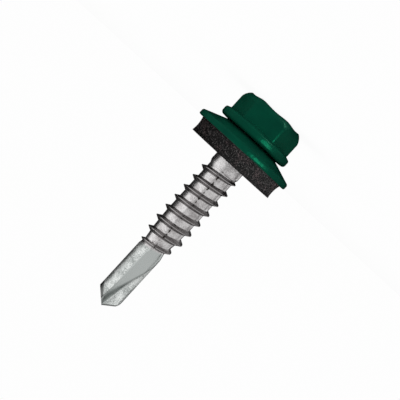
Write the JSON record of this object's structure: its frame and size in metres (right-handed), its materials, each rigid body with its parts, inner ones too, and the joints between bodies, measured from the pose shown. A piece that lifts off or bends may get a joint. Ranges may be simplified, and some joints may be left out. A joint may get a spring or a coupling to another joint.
{
  "type": "self drilling screw",
  "caption": "Self drilling roofing screw with a painted hexagon flange head, rolled thread, fluted drill point and a captive sealing washer.",
  "frame": {"origin": "on the screw's axis, in the plane of the head's top, on which it stands", "axes": "+Z along the axis from the head to the drill point, -Y towards the front of the picture"},
  "size_m": [0.0154, 0.0154, 0.035],
  "materials": {
    "zinc_plated_steel": "zinc plated, head powder painted deep green",
    "green_paint": "gloss powder paint",
    "sealing_rubber": "matt moulded rubber"
  },
  "bodies": {
    "screw": {"screw": "zinc_plated_steel"},
    "washer": {"metal_washer": "green_paint", "sealing_ring": "sealing_rubber"}
  },
  "joints": [
    {"name": "washer_spin", "type": "hinge", "parent": "screw", "child": "washer", "pos_m": [0, 0, 0.0073], "axis": [0, 0, 1], "continuous": true}
  ]
}
